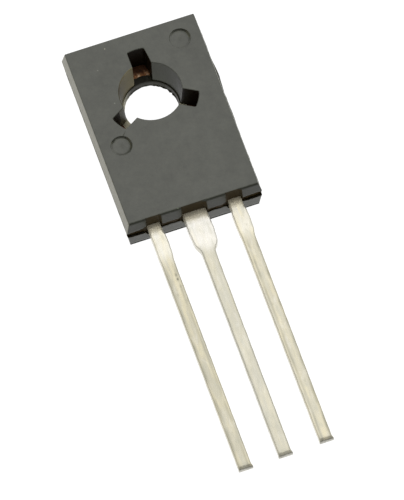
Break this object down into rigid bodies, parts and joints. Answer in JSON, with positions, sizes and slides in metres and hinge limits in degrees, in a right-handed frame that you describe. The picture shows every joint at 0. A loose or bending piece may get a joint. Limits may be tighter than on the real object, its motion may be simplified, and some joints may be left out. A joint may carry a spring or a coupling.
{
  "type": "power transistor",
  "caption": "Flat moulded power transistor with a mounting hole, an exposed metal back and straight leads in a row.",
  "frame": {"origin": "axis of the mounting hole, at the back face that sits on a heat sink", "axes": "+Z along the hole, out of the front face; +Y towards the mounting-hole end, so the leads run towards -Y; +X to the right seen from the front"},
  "size_m": [0.0076, 0.026, 0.0024],
  "materials": {
    "moulding_compound": "matt, finely eroded mould finish",
    "tinned_copper": "satin tin plate over copper",
    "silicon": "polished silicon",
    "solder": "dull solder",
    "bond_wire": "drawn wire"
  },
  "bodies": {
    "root": {"epoxy_body": "moulding_compound", "collector_tab_and_lead": "tinned_copper", "emitter_lead": "tinned_copper", "base_lead": "tinned_copper", "silicon_die": "silicon", "die_attach_solder": "solder", "emitter_bond_wire": "bond_wire", "base_bond_wire": "bond_wire"}
  },
  "joints": []
}
